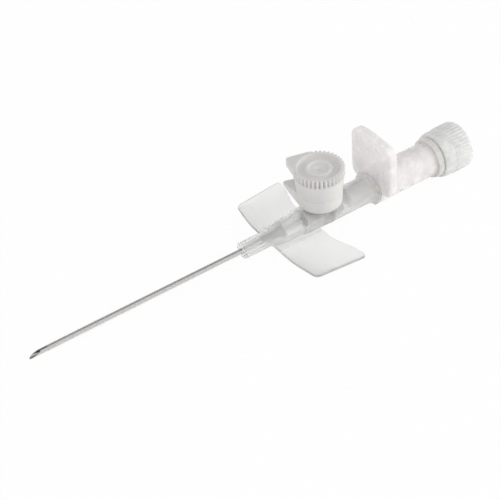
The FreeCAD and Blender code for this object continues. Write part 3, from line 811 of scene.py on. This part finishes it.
ribsPiece = placed(stopperRibs(), "stopperRibs")
ribsCore = placed(turned([
    (stopperFront - 1, 0, 0), (stopperFront - 1, stopper["ribCore"], 0),
    (stopperBack + 1, stopper["ribCore"], 0), (stopperBack + 1, 0, 0),
]), "ribsCore")
ribsPiece = combined(ribsPiece, [ribsCore], "DIFFERENCE")
stopperPiece = combined(placed(stopperBody(), "stopperMoulding"), [ribsPiece], "UNION")
finished(stopperPiece, stopperFrosted, "stopper_frosted", "luer_stopper", body="stopper")


# Floor, light and camera

studio = {
    "floorSize": 3.0, "floorTilt": 2.61, "shadowShare": 0.04, "tent": 0.95, "darkPatch": (0.40, 0.50, 0.77),
    "patchEdge": (0.66, 0.84), "patchLevel": 0.20, "patchMiddle": 0.18, "softPatch": 0.4,
}
softbox = {"sideways": 1.0, "upwards": 0.26, "towards": 0.0, "size": 0.5, "power": 3.6}
view = {
    "azimuth": -31.78, "elevation": 40.12, "roll": -4.55, "distance": 0.2936, "aim": (0.004, 0.0, 0.003),
    "lens": 104.04, "shiftX": -0.0138, "shiftY": -0.0363,
}


def floorMaterial():
    # White paper: seen as plain white, with only a share of the real shading left for the shadow
    material, tree = blankMaterial("whitePaper")
    path = addNode(tree, "ShaderNodeLightPath")
    seen = addNode(tree, "ShaderNodeMath", {"operation": "MAXIMUM"},
                   {0: path.outputs["Is Camera Ray"], 1: path.outputs["Is Glossy Ray"]})
    seen = addNode(tree, "ShaderNodeMath", {"operation": "MAXIMUM"},
                   {0: seen.outputs[0], 1: path.outputs["Is Transmission Ray"]})
    share = addNode(tree, "ShaderNodeMath", {"operation": "MULTIPLY", 1: 1 - studio["shadowShare"]},
                    {0: seen.outputs[0]})
    paper = addNode(tree, "ShaderNodeBsdfDiffuse", {"Color": hexColour("#f7f7f6")})
    white = addNode(tree, "ShaderNodeEmission", {"Color": (1, 1, 1, 1), "Strength": 1.0})
    mixed = addNode(tree, "ShaderNodeMixShader", None,
                    {0: share.outputs[0], 1: paper.outputs["BSDF"], 2: white.outputs["Emission"]})
    addNode(tree, "ShaderNodeOutputMaterial", None, {"Surface": mixed.outputs["Shader"]})
    return material


def addFloor():
    # it carries the part where it lies, on the stopper's rim and the needle's tip
    bm = bmesh.new()
    bmesh.ops.create_grid(bm, x_segments=1, y_segments=1, size=studio["floorSize"] / 2)
    bmesh.ops.rotate(bm, verts=bm.verts, cent=(0, 0, 0),
                     matrix=Matrix.Rotation(math.radians(studio["floorTilt"]), 3, "Y"))
    rim = (stopperBack * mm, 0, -(stopper["radius"] + stopper["ribDepth"]) * mm)
    bmesh.ops.translate(bm, verts=bm.verts, vec=rim)
    mesh = bpy.data.meshes.new("floor")
    bm.to_mesh(mesh)
    bm.free()
    floor = bpy.data.objects.new("floor", mesh)
    bpy.context.scene.collection.objects.link(floor)
    mesh.materials.append(floorMaterial())


def grey(level):
    return (level, level, level, 1)


def setWorld():
    # bright all round with one dark patch high on the far side, which draws the dark line along the steel
    world = bpy.data.worlds.new("lightTent")
    bpy.context.scene.world = world
    world.use_nodes = True
    tree = world.node_tree
    tree.nodes.clear()
    where = addNode(tree, "ShaderNodeTexCoord")
    near = addNode(tree, "ShaderNodeVectorMath", {"operation": "DOT_PRODUCT", 1: studio["darkPatch"]},
                   {0: where.outputs["Generated"]})
    tent = addNode(tree, "ShaderNodeValToRGB", None, {"Fac": near.outputs["Value"]})
    stops = tent.color_ramp.elements
    stops[1].position = 1.0
    stops[0].color = grey(studio["tent"])
    stops[1].color = grey(studio["patchMiddle"])
    stops.new(studio["patchEdge"][0]).color = grey(studio["tent"])
    stops.new(studio["patchEdge"][1]).color = grey(studio["patchLevel"])
    path = addNode(tree, "ShaderNodeLightPath")
    soft = addNode(tree, "ShaderNodeMath", {"operation": "MAXIMUM"},
                   {0: path.outputs["Is Transmission Ray"], 1: path.outputs["Is Diffuse Ray"]})
    paler = addNode(tree, "ShaderNodeMath", {"operation": "MULTIPLY", 1: studio["softPatch"]},
                    {0: soft.outputs[0]})
    seen = addNode(tree, "ShaderNodeMix", {"data_type": "RGBA", "B": grey(studio["tent"])},
                   {"Factor": paler.outputs[0], "A": tent.outputs["Color"]})
    shaped = addNode(tree, "ShaderNodeBackground", {"Strength": 1.0}, {"Color": seen.outputs["Result"]})
    white = addNode(tree, "ShaderNodeBackground", {"Color": (1, 1, 1, 1), "Strength": 1.0})
    outer = addNode(tree, "ShaderNodeMixShader", None,
                    {0: path.outputs["Is Camera Ray"], 1: shaped.outputs[0], 2: white.outputs[0]})
    addNode(tree, "ShaderNodeOutputWorld", None, {"Surface": outer.outputs[0]})


def cameraAxes():
    azimuth, elevation, roll = (math.radians(view[key]) for key in ("azimuth", "elevation", "roll"))
    back = Vector((math.sin(azimuth) * math.cos(elevation), -math.cos(azimuth) * math.cos(elevation),
                   math.sin(elevation)))
    right = Vector((math.cos(azimuth), math.sin(azimuth), 0))
    up = back.cross(right)
    return (right * math.cos(roll) + up * math.sin(roll),
            up * math.cos(roll) - right * math.sin(roll), back)


def addCamera():
    right, up, back = cameraAxes()
    data = bpy.data.cameras.new("camera")
    data.lens = view["lens"]
    data.shift_x = view["shiftX"]
    data.shift_y = view["shiftY"]
    data.clip_start = 0.01
    camera = bpy.data.objects.new("camera", data)
    camera.matrix_world = Matrix.Translation(Vector(view["aim"]) + back * view["distance"]) @ \
        Matrix((right, up, back)).transposed().to_4x4()
    bpy.context.scene.collection.objects.link(camera)
    bpy.context.scene.camera = camera


def addSoftbox():
    # a square soft light, placed in metres from the camera's right, straight up and towards the camera
    right, up, back = cameraAxes()
    flatBack = Vector((back.x, back.y, 0)).normalized()
    aim = Vector(view["aim"])
    spot = aim + right * softbox["sideways"] + flatBack * softbox["towards"]
    spot.z += softbox["upwards"]
    data = bpy.data.lights.new("keyLight", "AREA")
    data.shape = "SQUARE"
    data.size = softbox["size"]
    data.energy = softbox["power"]
    lamp = bpy.data.objects.new("keyLight", data)
    lamp.location = spot
    lamp.rotation_mode = "QUATERNION"
    lamp.rotation_quaternion = (aim - spot).to_track_quat("-Z", "Y")
    lamp.visible_glossy = False  # the steel and the clear plastic mirror the tent alone
    bpy.context.scene.collection.objects.link(lamp)


addFloor()
setWorld()
addCamera()
addSoftbox()
bpy.context.scene.view_settings.view_transform = "Standard"
print("studio made")
